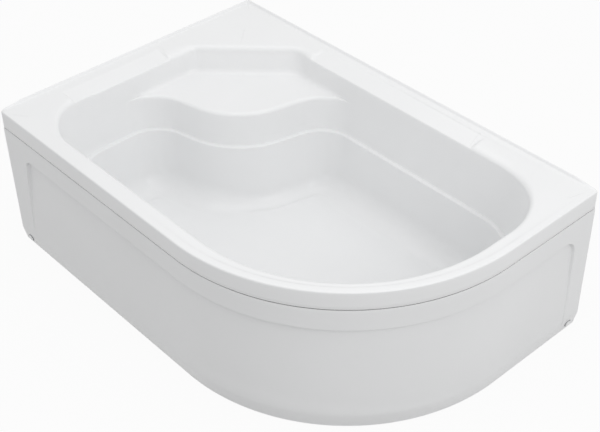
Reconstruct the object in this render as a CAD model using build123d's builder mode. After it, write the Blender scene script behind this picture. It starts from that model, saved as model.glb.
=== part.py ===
from build123d import *
from math import atan2, cos, hypot, radians, sin, sqrt, tan
import os

os.makedirs("parts", exist_ok=True)

# Shower tray with a corner seat, a front panel and levelling legs. Millimetres.
# +X runs along the long wall, +Y towards that wall, +Z up.
# The origin lies on the ground under the middle of the outline.

# Overall size and the plan outline
length = 1200.0
width = 800.0
rim_height = 408.0
front_curve_radius = 505.0
plan_corner_radius = 6.0
band_height = 46.7
shell_thickness = 5.0
rim_edge_radius = 4.0
upstand_height = 7.0
upstand_thickness = 7.0
upstand_taper = 60.0

# Mouth of the basin, measured at the rim
front_rim = 40.0
right_rim = 37.0
left_rim = 62.0
back_rim = 50.0
mouth_front_left_radius = 170.0
mouth_front_right_radius = 440.0
mouth_back_right_radius = 200.0
corner_deck_reach = 332.0
corner_deck_radius = 60.0

# Basin wall: how far below the rim and how far inside the mouth it lies
lip_round_depth = 2.5
lip_round_inset = 12.0
lip_depth = 10.0
lip_inset = 24.0
seat_depth = 70.0
seat_inset = 30.0
ledge_depth = 160.0
ledge_inset = 42.0
ledge_step = 6.0
floor_depth = 333.0
wall_foot_inset = 60.0
floor_fillet = 50.0
seat_front_radius = 12.0
roll_steps = 3

# Seat front, measured from the back left corner at the level of the seat
seat_reach = 461.0
wave_slant = 12.8
wave_bulge_radius = 187.0
wave_corner_radius = 110.0

# Sloped strips that drain the narrow rims along the two walls
back_strip_start = 337.0
back_strip_end = 890.0
back_strip_edge = 24.0
left_strip_start = 342.0
left_strip_end = 640.0
left_strip_edge = 34.0

# Drain hole in a shallow dish
drain_x = 190.0
drain_y = -80.0
drain_radius = 26.0
dish_radius = 44.0
dish_depth = 2.5

# Base board and the steel frame
board_thickness = 12.0
board_edge_gap = 4.0
board_drain_gap = 10.0
tube_size = 25.0
tube_wall = 2.0
tube_corner_radius = 3.0
left_rail_x = -380.0
right_rail_x = 335.0
back_rail_y = 110.0
front_rail_y = -190.0
left_leg_front_y = -340.0
right_leg_front_y = -288.0
leg_back_y = 323.0
leg_to_rail_end = 22.0
middle_leg_x = -20.0
plug_flange = 1.5
plug_depth = 12.0
plug_gap = 0.1
board_screw_radius = 2.5
board_screw_bite = 9.0
board_screw_head_radius = 5.0
board_screw_head_height = 3.0
screw_hole_gap = 0.1

# Levelling legs
stud_radius = 6.0
thread_gap = 0.05
nut_across_flats = 19.0
weld_nut_height = 9.0
lock_nut_height = 6.0
side_stud_length = 72.0
middle_stud_length = 46.0
stud_flats_across = 10.0
stud_chamfer = 1.0
stud_hole_gap = 1.0
foot_radius = 20.0
foot_plate_height = 5.0
foot_height = 12.0
foot_boss_radius = 11.0
foot_floor = 3.0
foot_edge_radius = 1.5
seat_gap = 0.3

# Front panel
panel_thickness = 3.5
panel_bottom = 3.0
panel_seam = 1.5
panel_flush_gap = 0.5
panel_top_flange = 18.0
curl_height = 42.0
curl_inset = 8.0
field_top = 303.0
field_bottom = 52.0
field_depth = 10.0
field_foot_depth = 1.5
field_end_top = 88.0
field_end_bottom = 60.0
field_corner_radius = 18.0
field_overrun = 10.0

# Panel screws with their covers, and the angle brackets behind them
cover_from_end = 28.0
cover_from_bottom = 17.0
cover_radius = 10.0
cover_height = 3.6
cover_wall = 1.2
cover_edge_radius = 1.2
cup_height = 0.8
cup_gap = 0.05
panel_screw_radius = 2.4
panel_screw_length = 20.0
panel_screw_head_radius = 4.6
panel_screw_head_height = 1.5
bracket_thickness = 2.5
bracket_height = 30.0
bracket_width = 40.0
bracket_wall_leg = 30.0
bracket_wall_gap = 0.5
wall_hole_radius = 3.2

# Blocks under the rim with the clips that hold the panel's top flange
block_length = 70.0
block_width = 26.0
block_from_band = 3.0
block_to_flange = 0.3
clip_length = 30.0
clip_thickness = 1.5
clip_overlap = 9.0
clip_gap = 0.5
clip_screw_radius = 2.0
clip_screw_length = 14.0
clip_screw_head_radius = 4.0
clip_screw_head_height = 2.0
front_block_places = (-430.0, -40.0)
right_block_y = 230.0
curve_block_angle = -45.0

# Levels worked out from the sizes above
seat_z = rim_height - seat_depth
ledge_z = rim_height - ledge_depth
floor_z = rim_height - floor_depth
band_bottom = rim_height - band_height
under_rim = rim_height - shell_thickness
board_top = floor_z - shell_thickness
board_bottom = board_top - board_thickness
rail_bottom = board_bottom - tube_size
weld_nut_bottom = rail_bottom - weld_nut_height
lock_nut_bottom = weld_nut_bottom - lock_nut_height
panel_top = band_bottom - panel_seam
curl_top = panel_bottom + curl_height

# Sides and the centre of the large front curve
left_side = -length / 2
right_side = length / 2
front_side = -width / 2
back_side = width / 2
curve_x = right_side - front_curve_radius
curve_y = front_side + front_curve_radius


def moved_sides(corners, insets):
    """Move the sides of a closed outline inwards. The outline runs counter-clockwise.

    Each corner is (x, y, radius). insets is one distance for all sides, or one for
    each side, where side i ends at corner i.
    """
    count = len(corners)
    if isinstance(insets, float):
        insets = [insets] * count
    moved = []
    for i in range(count):
        ax, ay, _ = corners[i - 1]
        bx, by, radius = corners[i]
        cx, cy, _ = corners[(i + 1) % count]
        before = hypot(bx - ax, by - ay)
        after = hypot(cx - bx, cy - by)
        normal_before = ((ay - by) / before, (bx - ax) / before)
        normal_after = ((by - cy) / after, (cx - bx) / after)
        turn = normal_before[0] * normal_after[1] - normal_before[1] * normal_after[0]
        inset_before = insets[i]
        inset_after = insets[(i + 1) % count]
        x = bx + (inset_before * normal_after[1] - inset_after * normal_before[1]) / turn
        y = by + (inset_after * normal_before[0] - inset_before * normal_after[0]) / turn
        shrink = (inset_before + inset_after) / 2
        moved.append((x, y, radius - shrink if turn > 0 else radius + shrink))
    return moved


def outline_sketch(corners, height):
    """A closed outline with rounded corners, as a sketch at one height."""
    with BuildSketch(Plane.XY.offset(height)) as outline:
        with BuildLine():
            FilletPolyline(
                [(x, y) for x, y, _ in corners],
                radius=[max(radius, 0.0) for _, _, radius in corners],
                close=True,
            )
        make_face()
    return outline.sketch


def plan_corners(inset, wall_inset):
    """Outer plan: one inset for the open sides and one for the two wall sides."""
    small = plan_corner_radius
    return [
        (left_side + wall_inset, front_side + inset, small),
        (right_side - inset, front_side + inset, front_curve_radius - inset),
        (right_side - inset, back_side - wall_inset, small),
        (left_side + wall_inset, back_side - wall_inset, small),
    ]


def mouth_corners():
    """Outline of the basin's mouth, with the deck that cuts off the back left corner."""
    left = left_side + left_rim
    right = right_side - right_rim
    front = front_side + front_rim
    back = back_side - back_rim
    # the deck's edge is the line y = x + deck_line
    deck_line = back_side - left_side - corner_deck_reach
    return [
        (left, front, mouth_front_left_radius),
        (right, front, mouth_front_right_radius),
        (right, back, mouth_back_right_radius),
        (back - deck_line, back, corner_deck_radius),
        (left, left + deck_line, corner_deck_radius),
    ]


def wave_corners():
    """Outline of the lower basin at the level of the seat, with the seat's wavy front."""
    front_left, front_right, back_right = moved_sides(mouth_corners(), seat_inset)[:3]
    slope = tan(radians(wave_slant))
    # the bulge's corner lies on the diagonal, beyond the rounded front of the seat
    half_turn = radians(45 - wave_slant)
    corner_gap = wave_bulge_radius * (1 / cos(half_turn) - 1)
    bulge = (seat_reach + corner_gap) / sqrt(2)
    bulge_x = left_side + bulge
    bulge_y = back_side - bulge
    left = front_left[0]
    back = back_right[1]
    return [
        front_left,
        front_right,
        back_right,
        (bulge_x + slope * (back - bulge_y), back, wave_corner_radius),
        (bulge_x, bulge_y, wave_bulge_radius),
        (left, bulge_y - slope * (bulge_x - left), wave_corner_radius),
    ]


def basin(grow, top):
    """The hollow of the basin up to a height, made larger by grow: its walls are drafted lofts."""
    mouth = mouth_corners()
    wave = wave_corners()
    wall_levels = (
        (0.0, 0.0),
        (lip_round_depth, lip_round_inset),
        (lip_depth, lip_inset),
        (seat_depth, seat_inset),
    )
    # the seat rolls over into its front along a quarter circle
    slope = (ledge_inset - seat_inset) / (ledge_depth - seat_depth)
    roll = seat_front_radius - grow
    front_levels = []
    for step in range(roll_steps + 1):
        angle = radians(90 * step / roll_steps)
        drop = seat_front_radius - roll * cos(angle)
        setback = seat_front_radius - roll * sin(angle)
        wall = slope * drop - grow
        front = slope * drop - setback
        front_levels.append((seat_z - drop, [wall, wall, wall, wall, front, front]))
    ledge = ledge_inset - seat_inset - grow
    foot = wall_foot_inset - seat_inset - grow
    with BuildPart() as hollow:
        if top > rim_height:
            add(outline_sketch(moved_sides(mouth, -grow), rim_height))
            extrude(amount=top - rim_height)
        # rounded lip, then the wall down to the seat
        for upper, lower in zip(wall_levels, wall_levels[1:]):
            add(outline_sketch(moved_sides(mouth, upper[1] - grow), rim_height - upper[0]))
            add(outline_sketch(moved_sides(mouth, lower[1] - grow), rim_height - lower[0]))
            loft(ruled=True)
        if grow > 0:
            add(outline_sketch(moved_sides(mouth, seat_inset - grow), seat_z))
            extrude(amount=-grow)
        # in front of the seat: rolled edge, wall, ledge, wall and floor
        for upper, lower in zip(front_levels, front_levels[1:]):
            add(outline_sketch(moved_sides(wave, upper[1]), upper[0]))
            add(outline_sketch(moved_sides(wave, lower[1]), lower[0]))
            loft(ruled=True)
        add(outline_sketch(moved_sides(wave, front_levels[-1][1]), front_levels[-1][0]))
        add(outline_sketch(moved_sides(wave, ledge), ledge_z - grow))
        loft(ruled=True)
        add(outline_sketch(moved_sides(wave, ledge + ledge_step), ledge_z - grow))
        add(outline_sketch(moved_sides(wave, foot), floor_z - grow))
        loft(ruled=True)
        fillet(hollow.faces().sort_by(Axis.Z)[0].edges(), floor_fillet + grow)
    return hollow.part


# Tray shell: rim with its skirt, upstand, basin, seat, ledge, floor and drain hole
basin_inside = basin(0.0, rim_height + upstand_height)
basin_outside = basin(shell_thickness, rim_height)
deck_left = left_side + upstand_thickness
deck_back = back_side - upstand_thickness
lip_z = rim_height - lip_depth
# each strip: plane of its side view, its flat edge, the basin's lip, and its length
rim_strips = (
    (
        Plane.YZ.offset(left_side + back_strip_start),
        back_side - back_strip_edge,
        back_side - back_rim - lip_inset,
        back_strip_end - back_strip_start,
    ),
    (
        Plane.XZ.offset(left_strip_start - back_side),
        left_side + left_strip_edge,
        left_side + left_rim + lip_inset,
        left_strip_end - left_strip_start,
    ),
)

with BuildPart() as tray_shell:
    add(outline_sketch(plan_corners(0.0, 0.0), band_bottom))
    extrude(amount=band_height + upstand_height)
    # the flat rim lies below the upstand, and its open edge is rounded
    with BuildSketch(Plane.XY.offset(rim_height)):
        with Locations((deck_left, deck_back)):
            Rectangle(2 * length, 2 * width, align=(Align.MIN, Align.MAX))
    extrude(amount=upstand_height, mode=Mode.SUBTRACT)
    open_rim = (
        tray_shell.edges()
        .filter_by_position(Axis.Z, rim_height, rim_height)
        .filter_by(lambda e: e.center().X > deck_left + 1 and e.center().Y < deck_back - 1)
    )
    fillet(open_rim, rim_edge_radius)
    # the upstand runs out at its two free ends
    with BuildSketch(Plane.XZ.offset(-back_side)):
        with Locations((right_side, rim_height)):
            Polygon((-upstand_taper, upstand_height), (0, 0), (1, upstand_height), align=None)
    extrude(amount=upstand_thickness, mode=Mode.SUBTRACT)
    with BuildSketch(Plane.YZ.offset(left_side)):
        with Locations((front_side, rim_height)):
            Polygon((upstand_taper, upstand_height), (-1, upstand_height), (0, 0), align=None)
    extrude(amount=upstand_thickness, mode=Mode.SUBTRACT)
    # hollow under the rim
    add(outline_sketch(plan_corners(shell_thickness, shell_thickness), band_bottom))
    extrude(amount=band_height - shell_thickness, mode=Mode.SUBTRACT)
    add(basin_outside)
    # strips that slope from the flat rim to the basin's lip
    for plane, edge, lip, run in rim_strips:
        with BuildSketch(plane):
            Polygon(
                (edge, rim_height),
                (edge, under_rim),
                (lip, lip_z - shell_thickness),
                (lip, lip_z),
                align=None,
            )
        extrude(amount=run)
        with BuildSketch(plane):
            Polygon((edge, rim_height), (lip, lip_z), (lip, rim_height), align=None)
        extrude(amount=run, mode=Mode.SUBTRACT)
    # boss under the dish round the drain
    with BuildSketch(Plane.XY.offset(board_top)):
        with Locations((drain_x, drain_y)):
            Circle(dish_radius)
    extrude(amount=-dish_depth)
    add(basin_inside, mode=Mode.SUBTRACT)
    with Locations((drain_x, drain_y, floor_z)):
        Hole(drain_radius, depth=board_top)
        Cone(
            drain_radius,
            dish_radius - shell_thickness,
            dish_depth,
            align=(Align.CENTER, Align.CENTER, Align.MAX),
            mode=Mode.SUBTRACT,
        )
tray_shell.part.label = "tray_shell"
export_step(tray_shell.part, "parts/tray_shell.step")


# Base board: glued under the flat floor, with the cut-out for the waste
board_outline = moved_sides(
    wave_corners(), wall_foot_inset - seat_inset + floor_fillet + board_edge_gap
)
board_screw_places = (
    (left_rail_x, front_rail_y),
    (right_rail_x, front_rail_y),
    (right_rail_x, back_rail_y),
    (middle_leg_x, front_rail_y),
    ((middle_leg_x + right_rail_x) / 2, back_rail_y),
)
with BuildPart() as base_board:
    add(outline_sketch(board_outline, board_bottom))
    extrude(amount=board_thickness)
    with Locations((drain_x, drain_y, board_top)):
        Hole(dish_radius + board_drain_gap)
    with BuildSketch(Plane.XY.offset(board_bottom)):
        with Locations(board_screw_places):
            Circle(board_screw_radius)
    extrude(amount=board_screw_bite, mode=Mode.SUBTRACT)
base_board.part.label = "base_board"
export_step(base_board.part, "parts/base_board.step")


def tube(start, end, legs, screws):
    """Square tube from start to end in plan, with holes for leg studs and board screws."""
    along = Vector(end[0] - start[0], end[1] - start[1], 0)
    middle_height = rail_bottom + tube_size / 2
    section = Plane((start[0], start[1], middle_height), z_dir=along)
    inner = tube_size - 2 * tube_wall
    with BuildPart() as rail:
        with BuildSketch(section):
            RectangleRounded(tube_size, tube_size, tube_corner_radius)
            RectangleRounded(inner, inner, tube_corner_radius - tube_wall, mode=Mode.SUBTRACT)
        extrude(amount=along.length)
        with BuildSketch(Plane.XY.offset(rail_bottom)):
            with Locations(legs):
                Circle(stud_radius + stud_hole_gap)
            if screws:
                with Locations(screws):
                    Circle(board_screw_radius + screw_hole_gap)
        extrude(amount=tube_size, mode=Mode.SUBTRACT)
    return rail.part


# Steel frame: two cross rails carry the legs, two long rails lie between them
rail_ends = {
    "left_cross_rail": (left_rail_x, left_leg_front_y),
    "right_cross_rail": (right_rail_x, right_leg_front_y),
}
leg_places = {
    "front_left": (left_rail_x, left_leg_front_y, side_stud_length),
    "back_left": (left_rail_x, leg_back_y, side_stud_length),
    "front_right": (right_rail_x, right_leg_front_y, side_stud_length),
    "back_right": (right_rail_x, leg_back_y, side_stud_length),
    "middle": (middle_leg_x, back_rail_y, middle_stud_length),
}
half_tube = tube_size / 2
for name, (rail_x, leg_front_y) in rail_ends.items():
    cross_rail = tube(
        (rail_x, leg_front_y - leg_to_rail_end),
        (rail_x, leg_back_y + leg_to_rail_end),
        [(rail_x, leg_front_y), (rail_x, leg_back_y)],
        [place for place in board_screw_places if place[0] == rail_x],
    )
    cross_rail.label = name
    export_step(cross_rail, f"parts/{name}.step")

for name, rail_y, legs in (
    ("front_long_rail", front_rail_y, []),
    ("back_long_rail", back_rail_y, [(middle_leg_x, back_rail_y)]),
):
    long_rail = tube(
        (left_rail_x + half_tube, rail_y),
        (right_rail_x - half_tube, rail_y),
        legs,
        [
            place
            for place in board_screw_places
            if place[1] == rail_y and left_rail_x < place[0] < right_rail_x
        ],
    )
    long_rail.label = name
    export_step(long_rail, f"parts/{name}.step")

# Plastic plugs in the open ends of the cross rails
plug_side = tube_size - 2 * tube_wall - 2 * plug_gap
with BuildPart() as rail_plugs:
    for rail_x, leg_front_y in rail_ends.values():
        for end_y, outward in (
            (leg_front_y - leg_to_rail_end, -1),
            (leg_back_y + leg_to_rail_end, 1),
        ):
            end_plane = Plane(
                (rail_x, end_y, rail_bottom + half_tube), x_dir=(1, 0, 0), z_dir=(0, outward, 0)
            )
            with BuildSketch(end_plane):
                RectangleRounded(tube_size, tube_size, tube_corner_radius)
            extrude(amount=plug_flange)
            with BuildSketch(end_plane):
                RectangleRounded(plug_side, plug_side, tube_corner_radius - tube_wall)
            extrude(amount=-plug_depth)
rail_plugs.part.label = "rail_plugs"
export_step(rail_plugs.part, "parts/rail_plugs.step")

# Screws through the rails into the board
with BuildPart() as board_screws:
    with Locations([(x, y, rail_bottom) for x, y in board_screw_places]):
        Cylinder(
            board_screw_radius,
            tube_size + board_screw_bite,
            align=(Align.CENTER, Align.CENTER, Align.MIN),
        )
        Cylinder(
            board_screw_head_radius,
            board_screw_head_height,
            align=(Align.CENTER, Align.CENTER, Align.MAX),
        )
board_screws.part.label = "board_screws"
export_step(board_screws.part, "parts/board_screws.step")


def nuts(bottom, height):
    """One hexagon nut under the rail at each leg."""
    with BuildPart() as group:
        with BuildSketch(Plane.XY.offset(bottom)):
            with Locations([(x, y) for x, y, _ in leg_places.values()]):
                RegularPolygon(nut_across_flats / 2, 6, major_radius=False)
                Circle(stud_radius + thread_gap, mode=Mode.SUBTRACT)
        extrude(amount=height)
    return group.part


weld_nuts = nuts(weld_nut_bottom, weld_nut_height)
weld_nuts.label = "weld_nuts"
export_step(weld_nuts, "parts/weld_nuts.step")
lock_nuts = nuts(lock_nut_bottom, lock_nut_height)
lock_nuts.label = "lock_nuts"
export_step(lock_nuts, "parts/lock_nuts.step")

# Levelling legs: a stud that turns in its nut, standing in a plastic foot
for name, (leg_x, leg_y, stud_length) in leg_places.items():
    stud_bottom = foot_floor + seat_gap
    with BuildPart() as stud:
        with Locations((leg_x, leg_y, stud_bottom)):
            Cylinder(stud_radius, stud_length, align=(Align.CENTER, Align.CENTER, Align.MIN))
        chamfer(stud.edges().filter_by(GeomType.CIRCLE), stud_chamfer)
        # two flats for a spanner, between the foot and the lock nut
        with Locations((leg_x, leg_y, foot_height + seat_gap)):
            for side, align_x in ((1, Align.MIN), (-1, Align.MAX)):
                with Locations((side * stud_flats_across / 2, 0, 0)):
                    Box(
                        stud_radius,
                        2 * stud_radius,
                        lock_nut_bottom - foot_height - 2 * seat_gap,
                        align=(align_x, Align.CENTER, Align.MIN),
                        mode=Mode.SUBTRACT,
                    )
    stud.part.label = f"stud_{name}"
    export_step(stud.part, f"parts/stud_{name}.step")

    with BuildPart() as foot:
        with Locations((leg_x, leg_y, 0)):
            Cylinder(foot_radius, foot_plate_height, align=(Align.CENTER, Align.CENTER, Align.MIN))
        fillet(foot.edges().group_by(Axis.Z)[-1], foot_edge_radius)
        with BuildSketch(Plane.XY.offset(foot_plate_height)):
            with Locations((leg_x, leg_y)):
                RegularPolygon(foot_boss_radius, 6)
        extrude(amount=foot_height - foot_plate_height)
        with Locations((leg_x, leg_y, foot_height)):
            Hole(stud_radius + thread_gap, depth=foot_height - foot_floor)
    foot.part.label = f"foot_{name}"
    export_step(foot.part, f"parts/foot_{name}.step")


def panel_form(grow, wall_inset):
    """The space behind the panel's outer face, moved inwards by grow, with a drawn-in foot."""
    inset = panel_flush_gap + grow
    with BuildPart() as form:
        add(outline_sketch(plan_corners(inset, wall_inset), curl_top))
        extrude(amount=panel_top - curl_top - grow)
        add(outline_sketch(plan_corners(inset, wall_inset), curl_top))
        add(outline_sketch(plan_corners(inset + curl_inset, wall_inset), panel_bottom))
        loft(ruled=True)
    return form.part


def panel_field(grow):
    """What the sunk field takes away: its face leans outwards towards the foot."""
    top = field_top + grow
    bottom = field_bottom - grow
    inset = panel_flush_gap + grow
    radius = field_corner_radius + grow
    far = length + width
    left_bottom = left_side + field_end_bottom - grow
    left_top = left_side + field_end_top - grow
    right_bottom = back_side - field_end_bottom + grow
    right_top = back_side - field_end_top + grow
    # the core is longer than the field at both ends, along the same slant
    slant = (field_depth - field_foot_depth) / (top - bottom)
    head_inset = inset + field_depth + slant * field_overrun
    foot_inset = inset + field_foot_depth - slant * field_overrun
    with BuildPart() as core:
        add(outline_sketch(plan_corners(head_inset, 0.0), top + field_overrun))
        add(outline_sketch(plan_corners(foot_inset, 0.0), bottom - field_overrun))
        loft(ruled=True)
    with BuildPart() as field:
        with BuildSketch(Plane.XZ) as front_view:
            Polygon(
                (left_bottom, bottom), (far, bottom), (far, top), (left_top, top), align=None
            )
            fillet(front_view.vertices().sort_by(Axis.X)[:2], radius)
        extrude(amount=far, both=True)
        with BuildSketch(Plane.YZ) as side_view:
            Polygon(
                (-far, bottom), (right_bottom, bottom), (right_top, top), (-far, top), align=None
            )
            fillet(side_view.vertices().sort_by(Axis.X)[-2:], radius)
        extrude(amount=far, both=True, mode=Mode.INTERSECT)
        add(core.part, mode=Mode.SUBTRACT)
    return field.part


# Places of the two panel screws, on the drawn-in foot near the panel's ends
cover_z = panel_bottom + cover_from_bottom
foot_slant = atan2(curl_inset, curl_height)
cover_inset = panel_flush_gap + curl_inset * (curl_top - cover_z) / curl_height
screw_planes = (
    Plane(
        (left_side + cover_from_end, front_side + cover_inset, cover_z),
        x_dir=(1, 0, 0),
        z_dir=(0, -cos(foot_slant), -sin(foot_slant)),
    ),
    Plane(
        (right_side - cover_inset, back_side - cover_from_end, cover_z),
        x_dir=(0, -1, 0),
        z_dir=(cos(foot_slant), 0, -sin(foot_slant)),
    ),
)

# Front panel: one formed sheet with a raised border, a sunk field and a top flange
flange_edge = panel_flush_gap + panel_top_flange
with BuildPart() as panel_hollow:
    add(panel_form(panel_thickness, -2 * plan_corner_radius))
    add(panel_field(panel_thickness), mode=Mode.SUBTRACT)
with BuildPart() as front_panel:
    add(panel_form(0.0, panel_flush_gap))
    add(panel_field(0.0), mode=Mode.SUBTRACT)
    add(panel_hollow.part, mode=Mode.SUBTRACT)
    add(outline_sketch(plan_corners(flange_edge, -panel_thickness), panel_top))
    extrude(amount=-2 * panel_thickness, mode=Mode.SUBTRACT)
    for plane in screw_planes:
        with BuildSketch(plane):
            Circle(panel_screw_radius + screw_hole_gap)
        extrude(amount=2 * panel_thickness, both=True, mode=Mode.SUBTRACT)
front_panel.part.label = "front_panel"
export_step(front_panel.part, "parts/front_panel.step")

# Panel screws, the cups under their heads, and the covers snapped over the cups
cup_radius = cover_radius - cover_wall - cup_gap
with BuildPart() as panel_screws:
    for plane in screw_planes:
        with BuildSketch(plane.offset(cup_height)):
            Circle(panel_screw_radius)
        extrude(amount=-panel_screw_length)
        with BuildSketch(plane.offset(cup_height)):
            Circle(panel_screw_head_radius)
        extrude(amount=panel_screw_head_height)
panel_screws.part.label = "panel_screws"
export_step(panel_screws.part, "parts/panel_screws.step")

with BuildPart() as cover_cups:
    for plane in screw_planes:
        with BuildSketch(plane):
            Circle(cup_radius)
            Circle(panel_screw_radius + screw_hole_gap, mode=Mode.SUBTRACT)
        extrude(amount=cup_height)
cover_cups.part.label = "cover_cups"
export_step(cover_cups.part, "parts/cover_cups.step")

for name, plane in zip(("left_screw_cover", "right_screw_cover"), screw_planes):
    with BuildPart() as cover:
        with BuildSketch(plane):
            Circle(cover_radius)
        extrude(amount=cover_height)
        outward = Axis(plane.origin, plane.z_dir)
        fillet(cover.edges().group_by(outward)[-1], cover_edge_radius)
        with BuildSketch(plane):
            Circle(cover_radius - cover_wall)
        extrude(amount=cover_height - cover_wall, mode=Mode.SUBTRACT)
    cover.part.label = name
    export_step(cover.part, f"parts/{name}.step")

# Angle brackets: one leg behind the panel, one leg on the wall
for name, plane in zip(("left_panel_bracket", "right_panel_bracket"), screw_planes):
    wall_x = bracket_wall_gap - cover_from_end
    with BuildPart() as bracket:
        with BuildSketch(Plane(plane.origin, x_dir=plane.x_dir, z_dir=-plane.y_dir)):
            Polygon(
                (wall_x, -panel_thickness),
                (wall_x, -panel_thickness - bracket_wall_leg),
                (wall_x + bracket_thickness, -panel_thickness - bracket_wall_leg),
                (wall_x + bracket_thickness, -panel_thickness - bracket_thickness),
                (wall_x + bracket_width, -panel_thickness - bracket_thickness),
                (wall_x + bracket_width, -panel_thickness),
                align=None,
            )
        extrude(amount=bracket_height / 2, both=True)
        with BuildSketch(plane):
            Circle(panel_screw_radius)
        extrude(amount=-panel_screw_length, mode=Mode.SUBTRACT)
        wall_plane = Plane(plane.origin, x_dir=plane.z_dir, z_dir=plane.x_dir)
        with BuildSketch(wall_plane.offset(wall_x)):
            with Locations((-panel_thickness - (bracket_wall_leg + bracket_thickness) / 2, 0)):
                Circle(wall_hole_radius)
        extrude(amount=bracket_thickness, mode=Mode.SUBTRACT)
    bracket.part.label = name
    export_step(bracket.part, f"parts/{name}.step")


# Blocks bonded under the rim, with the clips that hold the panel's top flange.
# Each place has its x along the rim and its y towards the basin.
curve_angle = radians(curve_block_angle)
block_planes = [Plane((x, front_side, 0), x_dir=(1, 0, 0)) for x in front_block_places]
block_planes.append(
    Plane(
        (
            curve_x + front_curve_radius * cos(curve_angle),
            curve_y + front_curve_radius * sin(curve_angle),
            0,
        ),
        x_dir=(-sin(curve_angle), cos(curve_angle), 0),
    )
)
block_planes.append(Plane((right_side, right_block_y, 0), x_dir=(0, 1, 0)))
block_outer = shell_thickness + block_from_band
block_inner = block_outer + block_width
block_bottom = panel_top + block_to_flange
flange_bottom = panel_top - panel_thickness
clip_step = flange_edge + clip_gap
clip_screw_y = (clip_step + clip_thickness + block_inner) / 2

with BuildPart() as rim_blocks:
    for plane in block_planes:
        with BuildSketch(plane.offset(block_bottom)):
            with Locations((0, (block_outer + block_inner) / 2)):
                Rectangle(block_length, block_width)
        extrude(amount=under_rim - block_bottom)
        with BuildSketch(plane.offset(block_bottom)):
            with Locations((0, clip_screw_y)):
                Circle(clip_screw_radius)
        extrude(amount=clip_screw_length - clip_thickness, mode=Mode.SUBTRACT)
rim_blocks.part.label = "rim_blocks"
export_step(rim_blocks.part, "parts/rim_blocks.step")

with BuildPart() as panel_clips:
    for plane in block_planes:
        with BuildSketch(Plane(plane.origin, x_dir=plane.y_dir, z_dir=plane.x_dir)):
            Polygon(
                (block_inner, block_bottom),
                (clip_step, block_bottom),
                (clip_step, flange_bottom),
                (flange_edge - clip_overlap, flange_bottom),
                (flange_edge - clip_overlap, flange_bottom - clip_thickness),
                (clip_step + clip_thickness, flange_bottom - clip_thickness),
                (clip_step + clip_thickness, block_bottom - clip_thickness),
                (block_inner, block_bottom - clip_thickness),
                align=None,
            )
        extrude(amount=clip_length / 2, both=True)
        with BuildSketch(plane.offset(block_bottom)):
            with Locations((0, clip_screw_y)):
                Circle(clip_screw_radius + screw_hole_gap)
        extrude(amount=-clip_thickness, mode=Mode.SUBTRACT)
panel_clips.part.label = "panel_clips"
export_step(panel_clips.part, "parts/panel_clips.step")

with BuildPart() as clip_screws:
    for plane in block_planes:
        with BuildSketch(plane.offset(block_bottom - clip_thickness)):
            with Locations((0, clip_screw_y)):
                Circle(clip_screw_radius)
        extrude(amount=clip_screw_length)
        with BuildSketch(plane.offset(block_bottom - clip_thickness)):
            with Locations((0, clip_screw_y)):
                Circle(clip_screw_head_radius)
        extrude(amount=-clip_screw_head_height)
clip_screws.part.label = "clip_screws"
export_step(clip_screws.part, "parts/clip_screws.step")
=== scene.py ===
from math import cos, pi, radians, sin

import bmesh
import bpy
import numpy as np
from bpy.props import FloatProperty, FloatVectorProperty, PointerProperty
from mathutils import Matrix, Vector


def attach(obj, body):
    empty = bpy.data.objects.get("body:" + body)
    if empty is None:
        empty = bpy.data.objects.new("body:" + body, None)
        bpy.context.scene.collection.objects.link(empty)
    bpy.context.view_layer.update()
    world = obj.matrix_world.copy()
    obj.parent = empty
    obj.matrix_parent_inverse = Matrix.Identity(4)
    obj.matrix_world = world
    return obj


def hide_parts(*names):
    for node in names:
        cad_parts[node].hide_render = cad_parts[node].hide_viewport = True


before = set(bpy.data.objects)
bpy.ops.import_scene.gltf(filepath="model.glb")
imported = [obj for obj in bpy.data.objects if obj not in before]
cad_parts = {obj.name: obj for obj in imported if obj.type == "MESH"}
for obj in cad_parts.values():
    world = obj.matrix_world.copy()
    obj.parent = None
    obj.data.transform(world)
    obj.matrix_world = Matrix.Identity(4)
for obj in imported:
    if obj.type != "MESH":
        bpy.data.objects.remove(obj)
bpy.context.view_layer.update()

bl_info = {
    "name": "Shower tray with corner seat",
    "version": (1, 0, 0),
    "blender": (4, 5, 0),
    "location": "3D View > Sidebar > Shower Tray",
    "description": "Builds a moulded shower tray with its front panel, covers and frame finishes",
    "category": "Add Mesh",
}

# Everything below is worked out in millimetres and scaled once, when a mesh is made.
METRE = 0.001
# rays of the tray's surface, and stations along the panel
RAYS, STATIONS = 620, 380
LEFT, RIGHT, FRONT = -600.0, 600.0, -400.0
RIM, LIP, SEAT, LEDGE, FLOOR = 408.0, 394.0, 338.0, 248.0, 75.0
BAND_FOOT, SHELL = 361.3, 5.0
DRAIN = np.array((190.0, -80.0))
DRAIN_RADIUS, DRAIN_DEPTH, DISH_RADIUS = 26.0, 7.5, 46.0
FRONT_CURVE = 505.0
# length over which each wall's upstand rises from nothing
UPSTAND_TAPER = 60.0
# insets from the mouth's or the seat's outline: the wall at the seat, the wall that is steeper
# round the front, the start of the ledge, and what the wall gains between ledge and floor
WALL_INSET, STEEPER, LEDGE_OUT, BASIN_DRAFT = 30.0, 8.3, 9.5, 12.0
# width of seat over which a ray's section turns from plain wall into wall and seat
SEAT_FADE = 26.0
# share of the seat's width that each of its two roundings may take
ROUNDING_SHARE = 0.45
STRIP_DEPTH, STRIP_BLEND = 10.0, 4.0

# Closed outlines, counter-clockwise: x, y and radius of each corner
PLAN = np.array([(-600, -400, 6), (600, -400, 505), (600, 400, 6), (-600, 400, 6)], float)
MOUTH = np.array(
    [(-538, -360, 170), (563, -360, 440), (563, 350, 200), (-318, 350, 85), (-538, 130, 85)],
    float,
)
WAVE = np.array(
    [(-508, -330, 140), (533, -330, 410), (533, 320, 170)]
    + [(-188.6, 320, 110), (-250, 50, 187), (-508, -8.6, 110)],
    float,
)
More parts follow.
